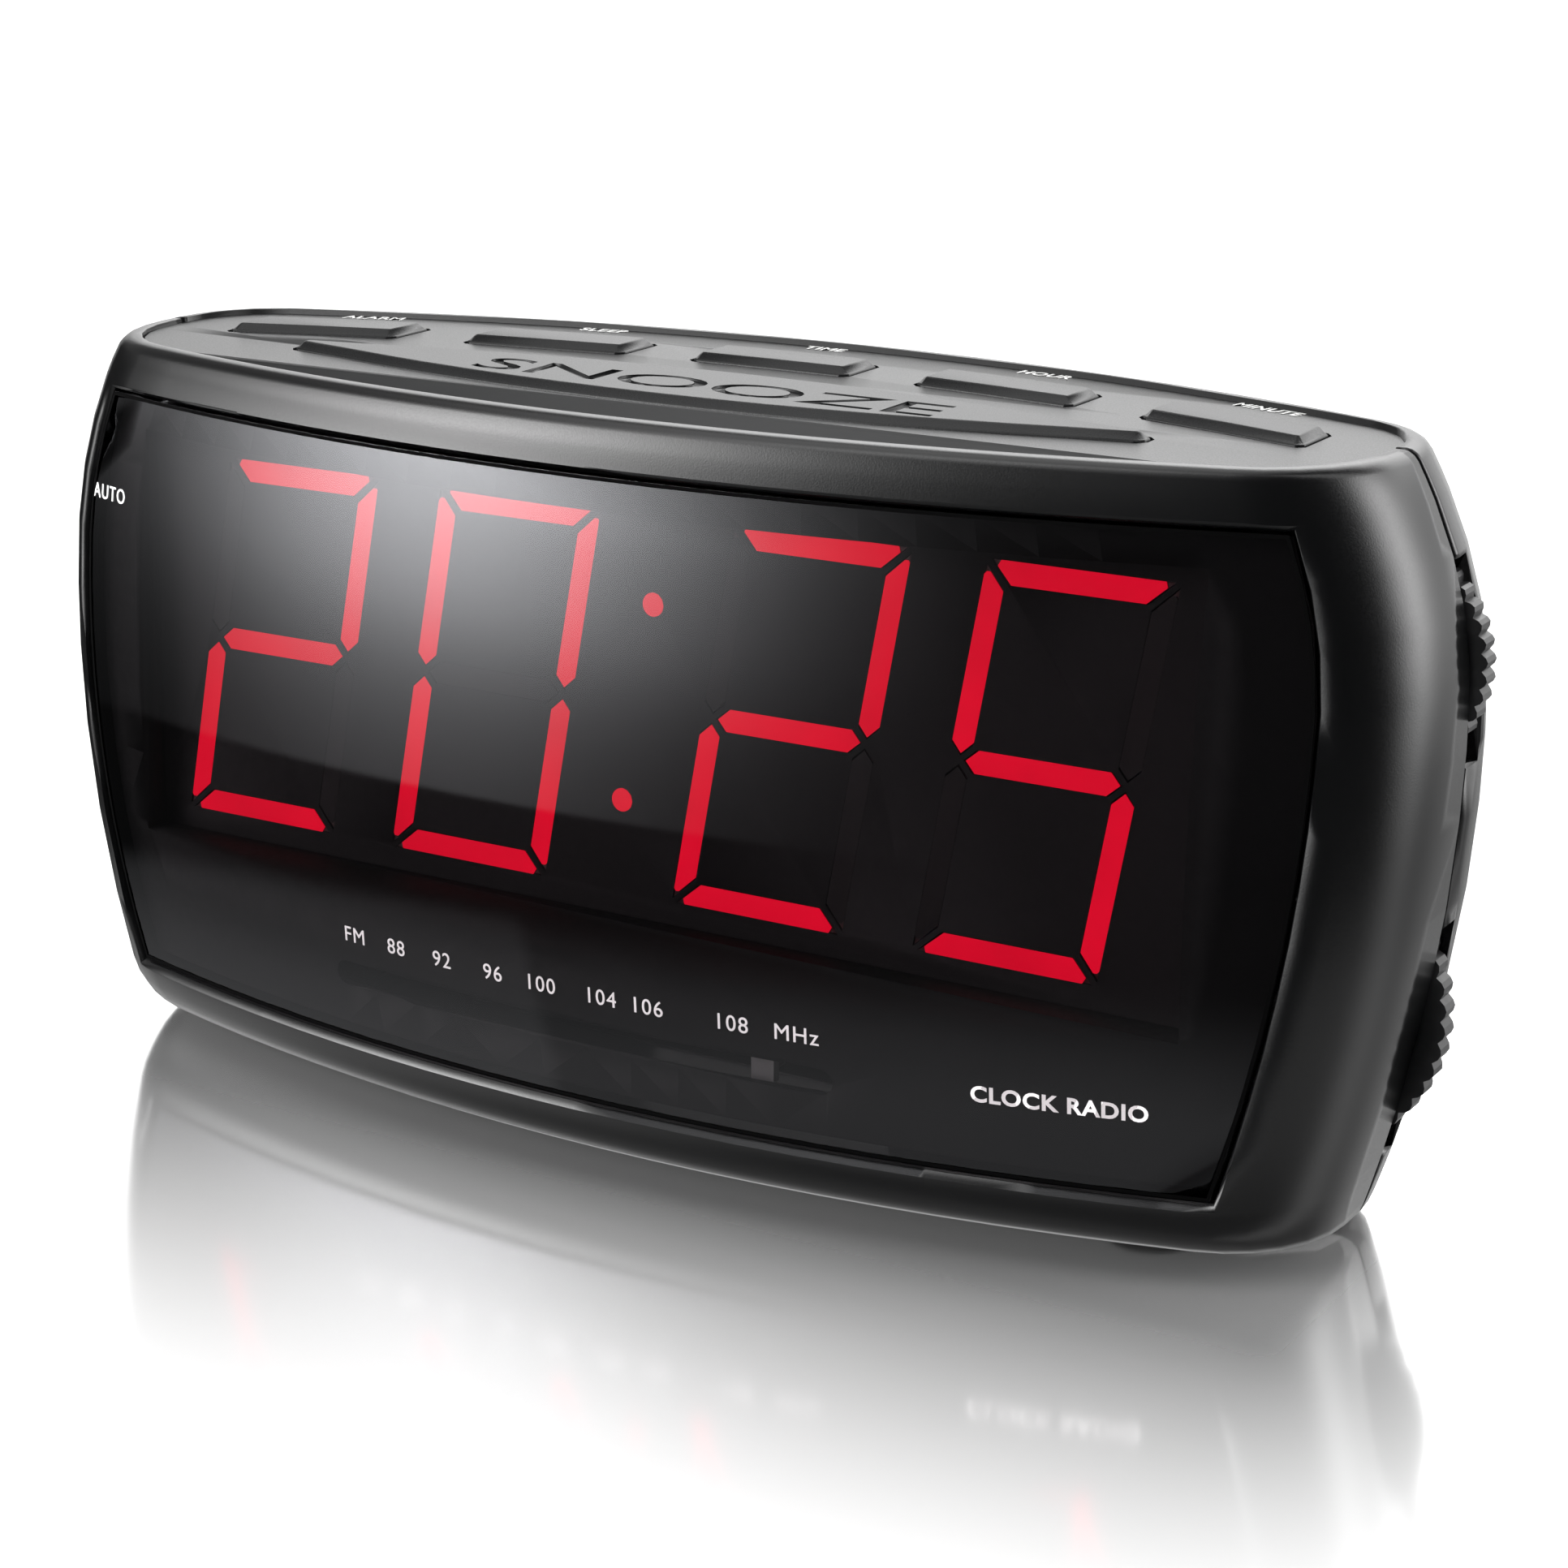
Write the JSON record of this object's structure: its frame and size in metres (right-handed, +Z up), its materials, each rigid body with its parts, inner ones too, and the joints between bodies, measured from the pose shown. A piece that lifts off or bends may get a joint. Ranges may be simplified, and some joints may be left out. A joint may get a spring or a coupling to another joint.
{
  "type": "clock radio",
  "caption": "Mains clock radio with a wide red segment display behind a smoked curved window, a top row of keys, a snooze bar and side thumbwheels.",
  "frame": {"origin": "middle of the footprint, on the surface the feet stand on", "axes": "+X to the right seen from the front, +Y to the back, +Z up"},
  "size_m": [0.1892, 0.0669, 0.0898],
  "materials": {
    "casing": "black fine-textured satin plastic",
    "panel": "dark grey satin plastic",
    "lens": "smoked glossy acrylic",
    "board": "green solder-masked board",
    "white": "white moulded plastic",
    "red": "red tinted diffusing plastic",
    "steel": "plated steel",
    "copper": "enamelled copper winding",
    "rubber": "black rubber",
    "paper": "dull black"
  },
  "bodies": {
    "radio": {"alarm_switch": "steel", "battery_snap": "paper", "battery_tray": "casing", "case_screw_left": "steel", "case_screw_right": "steel", "clock_chip": "paper", "dial_cord": "white", "display_board": "board", "display_hood": "casing", "display_lens": "lens", "filter_capacitor": "paper", "foot_front_left": "rubber", "foot_front_right": "rubber", "foot_rear_left": "rubber", "foot_rear_right": "rubber", "front_casing": "casing", "function_switch": "steel", "hour_switch": "steel", "key_board": "board", "led_diffuser": "red", "led_housing": "casing", "mains_cord_gland": "rubber", "minute_switch": "steel", "pulley_pin": "steel", "radio_board": "board", "rear_casing": "casing", "sleep_switch": "steel", "snooze_switch": "steel", "speaker_cone": "paper", "speaker_frame": "steel", "speaker_magnet": "steel", "time_switch": "steel", "top_panel": "panel", "transformer_core": "steel", "transformer_winding": "copper", "tuner_chip": "paper", "tuning_capacitor": "white", "volume_control": "steel"},
    "alarm_button": {"alarm_button": "panel"},
    "sleep_button": {"sleep_button": "panel"},
    "time_button": {"time_button": "panel"},
    "hour_button": {"hour_button": "panel"},
    "minute_button": {"minute_button": "panel"},
    "snooze_bar": {"snooze_bar": "panel"},
    "volume_wheel": {"volume_wheel": "casing", "volume_shaft": "steel"},
    "tuning_wheel": {"tuning_wheel": "casing", "dial_drum": "white", "tuning_shaft": "steel"},
    "dial_pointer": {"dial_pointer": "white"},
    "dial_pulley": {"dial_pulley": "white"},
    "function_knob": {"function_knob": "panel"},
    "battery_door": {"battery_door": "casing"}
  },
  "joints": [
    {"name": "alarm_button_press", "type": "slide", "parent": "radio", "child": "alarm_button", "axis": [0, 0, -1], "range_m": [0, 0.0008], "stiffness_N_per_m": 400},
    {"name": "sleep_button_press", "type": "slide", "parent": "radio", "child": "sleep_button", "axis": [0, 0, -1], "range_m": [0, 0.0008], "stiffness_N_per_m": 400},
    {"name": "time_button_press", "type": "slide", "parent": "radio", "child": "time_button", "axis": [0, 0, -1], "range_m": [0, 0.0008], "stiffness_N_per_m": 400},
    {"name": "hour_button_press", "type": "slide", "parent": "radio", "child": "hour_button", "axis": [0, 0, -1], "range_m": [0, 0.0008], "stiffness_N_per_m": 400},
    {"name": "minute_button_press", "type": "slide", "parent": "radio", "child": "minute_button", "axis": [0, 0, -1], "range_m": [0, 0.0008], "stiffness_N_per_m": 400},
    {"name": "snooze_press", "type": "slide", "parent": "radio", "child": "snooze_bar", "axis": [0, 0, -1], "range_m": [0, 0.0008], "stiffness_N_per_m": 600},
    {"name": "volume_turn", "type": "hinge", "parent": "radio", "child": "volume_wheel", "pos_m": [0.0808, 0.00366, 0.0663], "axis": [0, 1, 0], "range_deg": [0, 270]},
    {"name": "tuning_turn", "type": "hinge", "parent": "radio", "child": "tuning_wheel", "pos_m": [0.0737, 0.00366, 0.0263], "axis": [0, 1, 0], "range_deg": [-15, 262]},
    {"name": "pointer_travel", "type": "slide", "parent": "radio", "child": "dial_pointer", "axis": [-1, 0, 0], "range_m": [-0.0035, 0.0512]},
    {"name": "pulley_turn", "type": "hinge", "parent": "radio", "child": "dial_pulley", "pos_m": [-0.05, 0.00016, 0.0236], "axis": [0, 1, 0], "range_deg": [-25, 355]},
    {"name": "function_slide", "type": "slide", "parent": "radio", "child": "function_knob", "axis": [0, 0, 1], "range_m": [-0.006, 0.006]},
    {"name": "battery_door_slide", "type": "slide", "parent": "radio", "child": "battery_door", "axis": [0, 1, 0], "range_m": [0, 0.022]}
  ],
  "couplings": [
    {"joint": "pointer_travel", "follows": "tuning_turn", "m_per_rad": 0.011},
    {"joint": "pulley_turn", "follows": "tuning_turn", "ratio": 1.3253}
  ]
}
